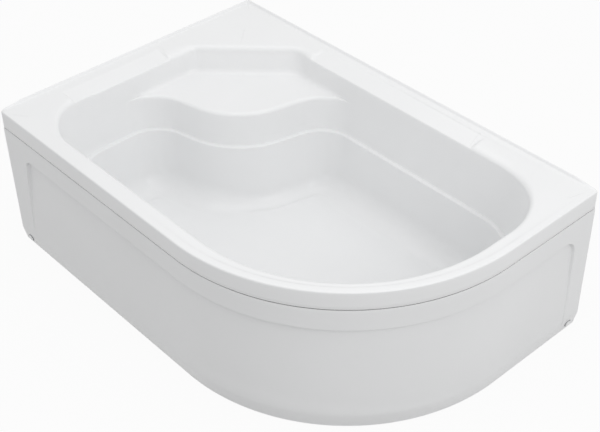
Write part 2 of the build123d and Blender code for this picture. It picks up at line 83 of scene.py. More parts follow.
# short mould lines on the rim, each from a point to a point in plan
CREASES = (
    ((-485, 287), (-437, 236)),
    ((-561, -386), (-530, -366)),
    ((571, 328), (581, 364)),
    ((-594, 394), (-566, 374)),
    ((270, 380), (282, 334)),
    ((-580, 70), (-533, 67)),
)
# insets of the plan's sides that the strips' upper edges follow: left, front, right, back
STRIP_EDGES = (34.0, 20.0, 18.0, 24.0)
# where the drained strips begin and end, along x at the back and along y at the left
BACK_STRIP = (-263.0, 290.0)
LEFT_STRIP = (-240.0, 58.0)

# Front panel: its gap inside the plan, its sheet, how far its foot is drawn in, and the levels
# of its foot, the start of its curl and its top
PANEL_GAP, PANEL_SHEET, CURL = 0.5, 3.5, 8.0
PANEL_FOOT, CURL_TOP, PANEL_TOP = 3.0, 45.0, 358.7
PANEL_LENGTH = 694.5 + FRONT_CURVE * pi / 2 + 294.5
# Round caps: distance from the panel's ends, height above the floor, radius
CAP_FROM_END, CAP_HEIGHT, CAP_RADIUS = 28.0, 20.0, 10.0

# Studio, in metres. Each lamp: name, place, size and its share of the lamp setting
LAMPS = (("overhead", (-0.1, 0.3, 3.0), 3.0, 1.0), ("side", (2.8, -0.3, 2.2), 2.0, 1.2))
LAMP_TARGET = (0.0, 0.0, 0.2)
FLOOR_COLOUR, FLOOR_BRIGHT, FLOOR_GLOW = (0.45, 0.45, 0.45), 0.92, 1.02
LENS, CAMERA_ROLL = 73.415, -0.93
CAMERA_PLACE = (1.76565, -1.53085, 2.06346)
CAMERA_FORWARD = (-0.5841, 0.5213, -0.6221)
CAMERA_RIGHT = (0.6659, 0.7461, 0.0)


def smooth(value, low=0.0, high=1.0):
    """0 below low, 1 above high, and 3t^2 - 2t^3 of the share t of the way between."""
    t = np.clip((value - low) / (high - low), 0.0, 1.0)
    return t * t * (3.0 - 2.0 * t)


def lerp(a, b, t):
    """a plus the share t of the way from a to b."""
    return a + (b - a) * t


def unit(vectors):
    """Each row over its own length."""
    return vectors / np.linalg.norm(vectors, axis=-1, keepdims=True)


# Outlines


def moved(corners, insets):
    """A closed outline with its sides moved inwards: a corner is where its two moved sides
    cross, and its radius loses the mean of the two moves (a hollow corner's gains it)."""
    xy = corners[:, :2]
    before = unit(xy - np.roll(xy, 1, axis=0))
    after = np.roll(before, -1, axis=0)
    in_before = np.broadcast_to(np.asarray(insets, float), len(corners))
    in_after = np.roll(in_before, -1)
    turn = before[:, 0] * after[:, 1] - before[:, 1] * after[:, 0]
    shift = (in_after[:, None] * before - in_before[:, None] * after) / turn[:, None]
    shrink = np.sign(turn) * (in_before + in_after) / 2
    return np.column_stack([xy - shift, corners[:, 2] - shrink])


def reach(corners, insets, turn):
    """How far each ray from the drain runs to an outline moved inwards. On a side it is the
    side's distance over the ray's share of the side's normal. On a rounded corner it is the
    root of |drain + r u - centre| = radius, the far one, or the near one on a hollow corner."""
    shape = moved(corners, insets)
    xy, radius = shape[:, :2], np.maximum(shape[:, 2], 0.01)
    along_in = unit(xy - np.roll(xy, 1, axis=0))
    along_out = np.roll(along_in, -1, axis=0)
    normal = np.column_stack([-along_in[:, 1], along_in[:, 0]])
    cross = along_in[:, 0] * along_out[:, 1] - along_in[:, 1] * along_out[:, 0]
    dot = (along_in * along_out).sum(1)
    tangent = radius * np.tan(np.abs(np.arctan2(cross, dot)) / 2)
    arc_start = xy - along_in * tangent[:, None]
    arc_end = xy + along_out * tangent[:, None]
    side = np.sign(cross)
    centre = arc_start + normal * (radius * side)[:, None]
    rays = np.stack([np.cos(turn), np.sin(turn)])
    # sides: one that a ray runs along is never met
    facing = normal @ rays
    facing = np.where(facing == 0.0, -1e-12, facing)
    straight = ((xy - DRAIN) * normal).sum(1)[:, None] / facing
    point = DRAIN[None, :, None] + straight[:, None, :] * rays[None]
    place = (point * along_in[:, :, None]).sum(1)
    low = (np.roll(arc_end, 1, axis=0) * along_in).sum(1)[:, None] - 1e-6
    high = (arc_start * along_in).sum(1)[:, None] + 1e-6
    good = (straight > 0) & (place >= low) & (place <= high)
    straight = np.where(good, straight, np.inf)
    # rounded corners
    gap = DRAIN - centre
    half = gap @ rays
    rest = half**2 - ((gap**2).sum(1) - radius**2)[:, None]
    bent = -half + side[:, None] * np.sqrt(np.maximum(rest, 0.0))
    point = DRAIN[None, :, None] + bent[:, None, :] * rays[None]
    begun = (point * along_in[:, :, None]).sum(1) >= (arc_start * along_in).sum(1)[:, None] - 1e-6
    not_ended = (point * along_out[:, :, None]).sum(1) <= (arc_end * along_out).sum(1)[:, None] + 1e-6
    good = (rest >= 0) & (bent > 0) & begun & not_ended
    bent = np.where(good, bent, np.inf)
    found = np.minimum(straight.min(0), bent.min(0))
    known = np.isfinite(found)
    return np.interp(turn, turn[known], found[known])


class Outline:
    """Ray lengths to one outline for every inset: a table that is read between its rows."""

    STEP = 2.0

    def __init__(self, corners, turn, low, high):
        self.low = low
        self.rows = np.stack([reach(corners, i, turn) for i in np.arange(low, high, self.STEP)])

    def at(self, inset):
        """The two nearest rows' lengths, mixed by how near the inset is to each."""
        place = (np.broadcast_to(inset, self.rows.shape[1]) - self.low) / self.STEP
        place = np.clip(place, 0.0, len(self.rows) - 1.001)
        row = place.astype(int)
        column = np.arange(self.rows.shape[1])
        return lerp(self.rows[row, column], self.rows[row + 1, column], place - row)


def ray_turns(count):
    """Directions of the rays. Their crowding follows the length of the outlines that each
    turn sweeps, with a peak wherever the rim or the basin changes over a few millimetres."""
    fine = np.linspace(-pi, pi, 20001)
    crowd = np.full_like(fine, 0.1 / len(fine))
    for corners, inset, share in ((PLAN, 0.0, 0.22), (MOUTH, 24.0, 0.2), (WAVE, 0.0, 0.34)):
        length = reach(corners, inset, fine)
        step = np.hypot(np.gradient(length), length * np.gradient(fine))
        crowd += share * step / step.sum()
    # place in plan, spread in degrees and share of the rays
    peaks = (
        (-600, -400, 0.5, 0.02),
        (-600, 400, 0.5, 0.02),
        (600, 400, 0.5, 0.012),
        (BACK_STRIP[0], 355, 1.2, 0.02),
        (BACK_STRIP[1], 355, 2.2, 0.015),
        (-560, LEFT_STRIP[0], 1.2, 0.02),
        (-555, LEFT_STRIP[1], 0.9, 0.015),
        (-300, 340, 2.0, 0.02),
        (-528, 120, 2.0, 0.02),
        (-205, 300, 2.0, 0.02),
        (-495, -15, 1.5, 0.02),
    )
    for x, y, spread, share in peaks:
        middle = np.arctan2(y - DRAIN[1], x - DRAIN[0])
        away = np.angle(np.exp(1j * (fine - middle)))
        hump = np.exp(-((away / radians(spread)) ** 2))
        crowd += share * hump / hump.sum()
    total = np.cumsum(crowd)
    total = (total - total[0]) / (total[-1] - total[0])
    return np.interp(np.arange(count) / count, total, fine)


# Meshes


def grid_mesh(name, points, wrap_rows=False, wrap_columns=False, sharp=40.0):
    """A mesh over a grid of points (rows, columns, 3): each cell is one face, and a wrapped
    direction joins its last line to its first."""
    rows, columns = points.shape[:2]
    index = np.arange(rows * columns).reshape(rows, columns)
    if wrap_rows:
        index = np.vstack([index, index[:1]])
    if wrap_columns:
        index = np.hstack([index, index[:, :1]])
    faces = np.stack([index[:-1, :-1], index[:-1, 1:], index[1:, 1:], index[1:, :-1]], axis=-1)
    faces = faces.reshape(-1, 4)
    mesh = bpy.data.meshes.new(name)
    mesh.vertices.add(rows * columns)
    mesh.vertices.foreach_set("co", (points.reshape(-1, 3) * METRE).astype(np.float32).ravel())
    mesh.loops.add(faces.size)
    mesh.loops.foreach_set("vertex_index", faces.astype(np.int32).ravel())
    mesh.polygons.add(len(faces))
    mesh.polygons.foreach_set("loop_start", np.arange(0, faces.size, 4, dtype=np.int32))
    mesh.update(calc_edges=True)
    mesh.polygons.foreach_set("use_smooth", np.ones(len(faces), dtype=bool))
    mesh.set_sharp_from_angle(angle=radians(sharp))
    mesh.validate()
    return mesh, faces


def welded(mesh):
    """Merge points that share a place, so that poles and pinched ends close."""
    work = bmesh.new()
    work.from_mesh(mesh)
    bmesh.ops.remove_doubles(work, verts=work.verts, dist=1e-7)
    work.to_mesh(mesh)
    work.free()
    return mesh


def place_piece(name, mesh, materials, body, replaced):
    """Put a finished mesh into the scene: it rides on a body and stands for CAD nodes."""
    old = bpy.data.objects.get(name)
    if old is not None:
        bpy.data.objects.remove(old, do_unlink=True)
    piece = bpy.data.objects.new(name, mesh)
    for material in materials:
        mesh.materials.append(material)
    bpy.context.scene.collection.objects.link(piece)
    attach(piece, body)
    if replaced:
        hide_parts(*replaced)
    return piece


def strip_fall(x, y):
    """How far the rim has fallen in its two drained strips, in proportion to the way from the
    strip's upper edge to the basin's lip, and each strip's smooth window along its wall."""

    def window(along, ends):
        start = smooth(along, ends[0] - STRIP_BLEND, ends[0] + STRIP_BLEND)
        return start * smooth(-along, -ends[1] - STRIP_BLEND, -ends[1] + STRIP_BLEND)

    back = np.clip((376.0 - y) / 50.0, 0.0, 1.0) * (y > 300)
    left = np.clip((x + 566.0) / 52.0, 0.0, 1.0) * (x < -470)
    back_window, left_window = window(x, BACK_STRIP), window(y, LEFT_STRIP)
    return STRIP_DEPTH * back, back_window, STRIP_DEPTH * left, left_window


def with_strips(x, y, z, drop):
    """The lower of a surface and the strips' planes, each weighed by its own window."""
    back, back_window, left, left_window = strip_fall(x, y)
    z = lerp(z, np.minimum(z, RIM - drop - back), back_window * (y > 300))
    return lerp(z, np.minimum(z, RIM - drop - left), left_window * (x < -470))


def tray_surface(sizes):
    """The tray's whole skin, as rays (columns) by one closed section (rows).

    Each row gives every ray its length r and height z. From outside in: band, rounded rim
    edge or upstand, rim, lip (a quarter ellipse), wall, seat, seat front, ledge, wall, floor
    fillet (a quarter circle of a radius that depends on the ray), floor, dish and drain hole.
    The way back is the same section a shell's thickness lower. Where the ray meets the seat,
    rows 'wall' and 'seat' are mixed by how wide the seat is there."""
    turn = ray_turns(RAYS)
    cos_t, sin_t = np.cos(turn), np.sin(turn)
    plan = Outline(PLAN, turn, 0.0, 14.0)
    mouth = Outline(MOUTH, turn, -14.0, 40.0)
    wave = Outline(WAVE, turn, -16.0, 112.0)
    crease = reach(PLAN, STRIP_EDGES, turn)
    roll = sizes.seat_roll / METRE
    back_fillet = sizes.seat_back_fillet / METRE
    front_line = reach(WAVE, (0, 0, 0, 0, -roll, -roll), turn)

    out_x = DRAIN[0] + plan.at(0.0) * cos_t
    out_y = DRAIN[1] + plan.at(0.0) * sin_t
    rise = np.maximum(
        (out_x < -594) * np.clip((out_y - FRONT) / UPSTAND_TAPER, 0, 1),
        (out_y > 394) * np.clip((RIGHT - out_x) / UPSTAND_TAPER, 0, 1),
    )
    at_wall = smooth(rise, 0.0, 0.15)
    degree = np.degrees(turn)
    deck = smooth(degree, 138.3, 142.0) * smooth(-degree, -165.7, -162.2)
    # the lip is broad along the two walls and tight round the front and the right side
    broad = smooth(degree % 360, 45.0, 66.0) * smooth(-(degree % 360), -198.0, -187.0)
    lip_out = lerp(-3.0, lerp(-6.0, 2.0, deck), broad)
    lip_in = lerp(9.0, lerp(25.0, 15.0, deck), broad)
    steep = STEEPER * (1 - broad)

    rows = []
    strips = []

    def row(r, z, drop=None):
        rows.append(np.stack([np.broadcast_to(r, turn.shape), np.broadcast_to(z, turn.shape)]))
        strips.append(drop)

    # band and rim edge
    for inset, z in ((0.4, BAND_FOOT), (0.0, BAND_FOOT + 0.6), (0.0, 372.0), (0.0, 388.0)):
        row(plan.at(inset), z)
    edge = sizes.rim_edge / METRE
    turns = np.radians(np.linspace(0, 90, 8))
    open_inset = np.concatenate([edge * (1 - np.cos(turns)), [6.0, 8.5]])
    open_z = np.concatenate([RIM - edge + edge * np.sin(turns), [RIM, RIM]])
    wall_inset = np.array([0.0, 0.2, 0.6, 1.2, 2.2, 3.2, 4.4, 5.8, 8.2, 12.0])
    wall_rise = np.array([5.4, 6.4, 6.9, 7.0, 6.9, 6.2, 4.2, 1.7, 0.4, 0.0])
    for oi, oz, wi, wr in zip(open_inset, open_z, wall_inset, wall_rise):
        row(lerp(plan.at(oi), plan.at(wi), at_wall), lerp(oz, RIM + wr * rise, at_wall))
    # rim up to the lip
    rim_start = lerp(plan.at(8.5), plan.at(12.0), at_wall)
    lip_start = mouth.at(lip_out)
    for share in (0.3, 0.65, 0.92):
        row(lerp(rim_start, crease, share), RIM, 0.0)
    for shift in (-1.2, 0.0, 1.2):
        row(crease - shift, RIM, 0.0)
    for share in (0.08, 0.3, 0.55, 0.8):
        row(lerp(crease - 1.2, lip_start, share), RIM, 0.0)
    for angle in np.radians(np.linspace(0, 90, 11)):
        r = mouth.at(lerp(lip_out, lip_in, sin(angle)))
        row(r, LIP + (RIM - LIP) * cos(angle), 0.0)

    # wall down to the seat
    def wall_ray(z, grow=0.0):
        share = (LIP - z) / (LIP - SEAT)
        return mouth.at(lerp(lip_in, WALL_INSET - steep, share) - grow)

    def front_ray(z, grow=0.0):
        share = (z - LEDGE) / (SEAT - LEDGE)
        return wave.at(LEDGE_OUT * (1 - share) - steep * share - grow)

    top_z, low_z = SEAT + back_fillet, SEAT - roll
    for z in np.linspace(LIP, top_z, 6)[1:]:
        row(wall_ray(z), z, 0.0)
    wall_r, seat_r = wall_ray(SEAT), front_ray(SEAT)
    room = wall_r - seat_r
    there = smooth(room, 0.0, SEAT_FADE)
    inner = np.minimum(back_fillet, ROUNDING_SHARE * room)
    outer = np.minimum(front_line - seat_r, ROUNDING_SHARE * room)
    outer_z = np.minimum(roll, ROUNDING_SHARE * room)
    group_r, group_z = [], []
    for angle in np.radians(np.linspace(0, 90, 9)[1:]):
        lean = (wall_ray(top_z) - wall_r) * (1 - sin(angle))
        group_r.append(wall_r - inner * (1 - cos(angle)) + lean)
        group_z.append(SEAT + inner * (1 - sin(angle)))
    for share in (0.06, 0.2, 0.4, 0.6, 0.8, 0.94):
        group_r.append(lerp(wall_r - inner, seat_r + outer, share))
        group_z.append(np.full_like(turn, SEAT))
    for angle in np.radians(np.linspace(0, 90, 10)):
        lean = (front_ray(low_z) - seat_r) * (1 - cos(angle))
        group_r.append(seat_r + outer * (1 - sin(angle)) + lean)
        group_z.append(SEAT - outer_z * (1 - cos(angle)))
    plain_z = np.linspace(top_z, low_z, len(group_r) + 1)[1:]
    for r, z, plain in zip(group_r, group_z, plain_z):
        plain_r = wall_ray(plain) if plain > SEAT else front_ray(plain)
        row(lerp(plain_r, r, there), lerp(plain, z, there))

    # seat front down to the ledge
    for z in np.linspace(low_z, LEDGE + 3.0, 7)[1:]:
        row(front_ray(z), z)
    step = sizes.ledge_width / METRE
    for share, inset, z in (
        (0.0, 0.1, 1.2),
        (0.0, 0.5, 0.3),
        (0.12, 0.3, 0.0),
        (0.82, 0.0, 0.0),
        (0.95, 0.0, -0.4),
        (1.0, 0.1, -1.5),
        (1.0, 0.3, -4.0),
    ):
        row(wave.at(LEDGE_OUT + share * step + inset), LEDGE + z)
    # floor fillet: tighter under the right flank of the seat's bulge
    tight = smooth(degree, 128.0, 140.0) * smooth(-degree, -172.0, -158.0)
    wide = lerp(sizes.floor_fillet / METRE, sizes.floor_fillet_tight / METRE, tight)
    foot = LEDGE_OUT + step + BASIN_DRAFT * (LEDGE - FLOOR - wide) / (LEDGE - FLOOR)
    for share in (0.25, 0.5, 0.75):
        row(
            wave.at(lerp(LEDGE_OUT + 0.3 + step, foot, share)),
            lerp(LEDGE - 4.0, FLOOR + wide, share),
        )
    for angle in np.radians(np.linspace(0, 90, 12)):
        row(wave.at(foot + wide * (1 - cos(angle))), FLOOR + wide * (1 - sin(angle)))
    floor_r = wave.at(foot + wide)
    # a faint raised line where the fillet under the bulge ends
    bead = smooth(degree, 134.0, 139.0) * smooth(-degree, -163.0, -160.0)
    full_turn = degree % 360
    bead = bead + 0.7 * smooth(full_turn, 179.0, 181.0) * smooth(-full_turn, -187.0, -184.0)
    row(floor_r - 1.5, FLOOR + 0.9 * bead)
    row(floor_r - 4.0, FLOOR + 1.0 * bead)
    row(floor_r - 7.0, FLOOR + 0.1 * bead)
    for share in (0.08, 0.2, 0.36, 0.54, 0.72, 0.88):
        row(lerp(floor_r - 9.0, DISH_RADIUS, share), FLOOR)
    # dish, then the rounded edge and the side of the drain hole
    for r, fall in ((DISH_RADIUS, 0), (44.5, 0.15), (43, 0.6), (38, 1.3), (30, 2.2), (27.2, 2.6)):
        row(r, FLOOR - fall)
    for out, fall in ((0.4, 3.0), (0.0, 3.8), (0.0, DRAIN_DEPTH)):
        row(DRAIN_RADIUS + out, FLOOR - fall)
    top_rows = len(rows)

    # underside, from the drain back to the band
    under_dish = DISH_RADIUS - 1.8
    row(DRAIN_RADIUS + 1.0, FLOOR - DRAIN_DEPTH)
    row(under_dish - 0.2, FLOOR - DRAIN_DEPTH)
    row(under_dish, FLOOR - SHELL)
    for share in (0.3, 0.7):
        row(lerp(under_dish, floor_r, share), FLOOR - SHELL)
    for angle in np.radians(np.linspace(90, 0, 6)):
        big = wide + SHELL
        row(wave.at(foot + wide - big * cos(angle)), FLOOR + wide - big * sin(angle))
    row(wave.at(LEDGE_OUT + 0.5 + step - SHELL), LEDGE - SHELL)
    row(wave.at(LEDGE_OUT - SHELL), LEDGE - SHELL)
    for z in (280.0, low_z):
        row(front_ray(z, SHELL), z)
    under_r, under_wall = front_ray(SEAT, SHELL), wall_ray(SEAT, SHELL)
    width = under_wall - under_r
    under_there = smooth(width, 0.0, SEAT_FADE)
    bend = np.minimum(7.0, 0.3 * width)
    group = (
        (under_r, SEAT - SHELL - bend),
        (under_r + 0.3 * bend, SEAT - SHELL - 0.3 * bend),
        (under_r + bend, SEAT - SHELL),
        (lerp(under_r, under_wall, 0.5), SEAT - SHELL),
        (under_wall - bend, SEAT - SHELL),
        (under_wall - 0.3 * bend, SEAT - SHELL + 0.3 * bend),
        (under_wall, SEAT - SHELL + bend),
    )
    for (r, z), plain in zip(group, np.linspace(low_z, top_z, 9)[1:-1]):
        plain_r = wall_ray(plain, SHELL) if plain > SEAT else front_ray(plain, SHELL)
        row(lerp(plain_r, r, under_there), lerp(plain, z, under_there))
    row(wall_ray(372.0) + SHELL, 372.0, SHELL)
    for angle in np.radians((75.0, 50.0, 25.0, 0.0)):
        r = mouth.at(lerp(lip_out, lip_in, sin(angle)))
        z = LIP + (RIM - LIP) * cos(angle)
        row(r + SHELL * sin(angle), z - SHELL * cos(angle), SHELL)
    row(crease - 1.2, RIM - SHELL, SHELL)
    row(crease + 1.2, RIM - SHELL, SHELL)
    row(plan.at(SHELL + 1.0), RIM - SHELL)
    row(plan.at(SHELL), RIM - SHELL - 1.0)
    row(plan.at(SHELL), BAND_FOOT + 0.4)
    row(plan.at(SHELL - 0.4), BAND_FOOT)

    grid = np.stack(rows)
    x = DRAIN[0] + grid[:, 0] * cos_t
    y = DRAIN[1] + grid[:, 0] * sin_t
    z = grid[:, 1]
    for number, drop in enumerate(strips):
        if drop is not None:
            z[number] = with_strips(x[number], y[number], z[number], drop)
    points = np.stack([x, y, z], axis=-1)
    mesh, faces = grid_mesh("tray_skin", points, wrap_rows=True, wrap_columns=True, sharp=50.0)
    backing = np.zeros(len(faces), dtype=np.int32)
    backing.reshape(len(rows), len(turn))[top_rows - 1 :] = 1
    return mesh, backing


# Front panel


def panel_path(s):
    """Point and inward normal of the panel's plan line at length s from its left end: a
    straight front, a quarter circle and a straight side."""
    start = LEFT + PANEL_GAP
    straight = (RIGHT - FRONT_CURVE) - start
    arc = FRONT_CURVE * pi / 2
    angle = np.clip((s - straight) / FRONT_CURVE, 0.0, pi / 2) - pi / 2
    centre = np.array((RIGHT - FRONT_CURVE, FRONT + FRONT_CURVE))
    x = centre[0] + FRONT_CURVE * np.cos(angle) + np.minimum(s - straight, 0.0)
    y = centre[1] + FRONT_CURVE * np.sin(angle) + np.maximum(s - straight - arc, 0.0)
    return np.stack([x, y], axis=-1), np.stack([-np.cos(angle), -np.sin(angle)], axis=-1)


def panel_inset(s, z, sizes):
    """How far the panel's face lies inside the plan line: the drawn-in foot, plus the sunk
    field's depth (deepest near its top) times a soft step over the distance to its sides and
    top, and a short easing 1 - (1 - t)^3 below its top. The distance turns into a circle's in
    the two upper corners."""
    foot = np.clip((CURL_TOP - z) / (CURL_TOP - PANEL_FOOT), 0.0, 1.0)
    inset = PANEL_GAP + CURL * lerp(foot, smooth(foot), 0.35)
    # distances to the field's slanted sides and its top
    left = s - (83.5 - (301.0 - z) * 23.5 / 230.0)
    right = (PANEL_LENGTH - s) - lerp(54.0, 56.0, np.clip((z - 60.0) / 240.0, 0, 1))
    top = 303.0 - z

    def rounded(a, b, radius):
        corner = radius - np.hypot(np.maximum(radius - a, 0.0), np.maximum(radius - b, 0.0))
        return np.where((a < radius) & (b < radius), corner, np.minimum(a, b))

    edge = np.minimum(rounded(left, top, 24.0), rounded(right, top, 42.0))
    width = sizes.field_edge / METRE
    under = 1.0 - (1.0 - np.clip(top / (sizes.field_sweep / METRE), 0.0, 1.0)) ** 3
    # the foot of the field fades out, lower towards the right end
    low = lerp(62.0, 20.0, smooth(s, 900.0, 1600.0))
    height = np.clip((z - 52.0) / 251.0, 0.0, 1.0)
    depth = lerp(1.5, sizes.field_depth / METRE, height**1.8)
    fade = smooth(z, low - 6.0, low + 26.0)
    return inset + depth * under * smooth(edge, -0.6, width - 0.6) * fade


def panel_surface(sizes):
    """The panel as one closed section of rows carried along its plan line: outer face from
    the foot to the top, rounded top edge, top flange, and the same face a sheet's thickness
    further in. Row k of the face lies opposite row -1 - k, and each end closes on the middle
    between the two."""
    thick, top = PANEL_SHEET, PANEL_TOP
    # stations along the path, crowded in the curve and at the field's two ends
    fine = np.linspace(0, PANEL_LENGTH, 8001)
    near_left = np.exp(-(((fine - 72.0) / 26.0) ** 4))
    near_right = np.exp(-(((PANEL_LENGTH - fine - 66.0) / 22.0) ** 4))
    bend = ((fine > 680) & (fine < 1500)).astype(float)
    crowd = 0.11 + 0.06 * bend + 0.9 * near_left + 0.9 * near_right
    total = np.cumsum(crowd)
    s = np.interp(np.linspace(total[0], total[-1], STATIONS), total, fine)
    heights = np.concatenate(
        [
            [PANEL_FOOT, 3.5, 5.0],
            np.linspace(8.0, 46.0, 10),
            np.linspace(52.0, 250.0, 24),
            np.linspace(255.0, 292.0, 16),
            np.linspace(294.0, 304.5, 13),
            [307.0, 315.0, 330.0, 345.0, 350.0],
        ]
    )
    turns = np.radians((0.0, 22.5, 45.0, 67.5, 90.0))
    under = PANEL_GAP + thick
    outer = [(PANEL_GAP + 2.2 * (1 - cos(a)), top - 2.2 + 2.2 * sin(a)) for a in turns]
    inner = [(under + 3 * (1 - cos(a)), top - thick - 3 + 3 * sin(a)) for a in turns]
    for inset, trim in ((12.5, 0.0), (18.2, 0.0), (18.5, 0.3)):
        outer.append((inset, top - trim))
        inner.append((inset, top - thick + trim))
    # the lowest edge is eased by half a millimetre on both sides
    ease = 0.5 * (heights == PANEL_FOOT)
    face = [(panel_inset(s, z, sizes) + e, z) for z, e in zip(heights, ease)]
    back = [(panel_inset(s, z, sizes) + thick - e, z) for z, e in zip(heights, ease)]
    rows = face + outer + inner[::-1] + back[::-1]
    path, normal = panel_path(s)
    inset = np.stack([np.broadcast_to(r, s.shape) for r, _ in rows])
    z = np.array([z for _, z in rows])[:, None] * np.ones_like(s)
    xy = path[None] + normal[None] * inset[..., None]
    points = np.concatenate([xy, z[..., None]], axis=-1)
    middle = (points + points[::-1]) / 2
    points = np.concatenate([middle[:, :1], points, middle[:, -1:]], axis=1)
    mesh, _ = grid_mesh("panel_skin", points, wrap_rows=True)
    return welded(mesh)


def seam_shade_surface():
    """A near-black strip in the seam between band and panel, which paints the seam's shade: a small
    closed section with a rounded front (half an ellipse) carried along the panel's plan line, its
    ends pinched shut."""
    s = np.linspace(0.3, PANEL_LENGTH - 0.3, 300)
    path, normal = panel_path(s)
    turn = np.linspace(0, 2 * pi, 14, endpoint=False)
    middle, half = (BAND_FOOT + PANEL_TOP) / 2, (BAND_FOOT - PANEL_TOP) / 2
    size = np.ones_like(s)
    size[[0, -1]] = 0.0
    inset = 3.1 - 2.0 * np.cos(turn)[:, None] * size
    z = middle + half * np.sin(turn)[:, None] * size
    xy = path[None] + normal[None] * inset[..., None]
    points = np.concatenate([xy, z[..., None]], axis=-1)
    mesh, _ = grid_mesh("seam_shade_strip", points, wrap_rows=True)
    return welded(mesh)


# Covers


def cover_surface(centre, outward, sizes):
    """A round cap: one closed section turned about the line through the centre. It has a low
    ring, a narrow groove, a rounded shoulder, a low crown and the hollow inside. Faces of the
    ring and the groove have the second material, a dark grey that paints the shade in the gap
    round the cap."""
    outward = np.array(outward) / np.linalg.norm(outward)
    side = np.cross((0.0, 0.0, 1.0), outward)
    side /= np.linalg.norm(side)
    up = np.cross(outward, side)
    height = sizes.cover_height / METRE
    inside = [(0.0, height - 1.2), (4.5, height - 1.3), (7.6, height - 1.8), (8.0, height - 2.2)]
    edge = [(8.0, 0.0), (9.8, 0.0), (CAP_RADIUS, 0.2), (CAP_RADIUS, 0.9), (9.8, 1.1), (9.3, 1.1)]
    edge += [(9.1, 0.9), (9.1, 0.5), (8.7, 0.5)]
    dome = [(8.7, 0.9)]
    for angle in np.radians((0.0, 22.5, 45.0, 67.5, 90.0)):
        dome.append((7.4 + 1.3 * cos(angle), height - 1.5 + 1.1 * sin(angle)))
    dome += [(5.5, height - 0.22), (3.6, height - 0.08), (1.4, height), (0.0, height)]
    section = np.array(inside + edge + dome)
    turn = np.linspace(0, 2 * pi, 72, endpoint=False)
    ring = np.cos(turn)[:, None] * side + np.sin(turn)[:, None] * up
    points = (
        np.array(centre)
        + section[:, 0, None, None] * ring[None]
        + section[:, 1, None, None] * outward
    )
    mesh, _ = grid_mesh("cover", points, wrap_columns=True)
    # ring and groove: the dark grey that paints the shade of the gap round the cap
    second = np.zeros((len(section) - 1, len(turn)), dtype=np.int32)
    second[len(inside) : len(inside) + len(edge) - 1] = 1
    mesh.polygons.foreach_set("material_index", second.ravel())
    return welded(mesh)


# Materials


class Wire:
    """A value in a material's node tree. + - * on wires or numbers add Math nodes."""

    def __init__(self, finish, socket):
        self.finish = finish
        self.socket = socket

    def maths(self, operation, first, second):
        return self.finish.node("ShaderNodeMath", {"operation": operation}, {0: first, 1: second})

    def __add__(self, other):
        return self.maths("ADD", self, other)

    def __radd__(self, other):
        return self.maths("ADD", other, self)

    def __rsub__(self, other):
        return self.maths("SUBTRACT", other, self)

    def __mul__(self, other):
        return self.maths("MULTIPLY", self, other)

    def __rmul__(self, other):
        return self.maths("MULTIPLY", other, self)


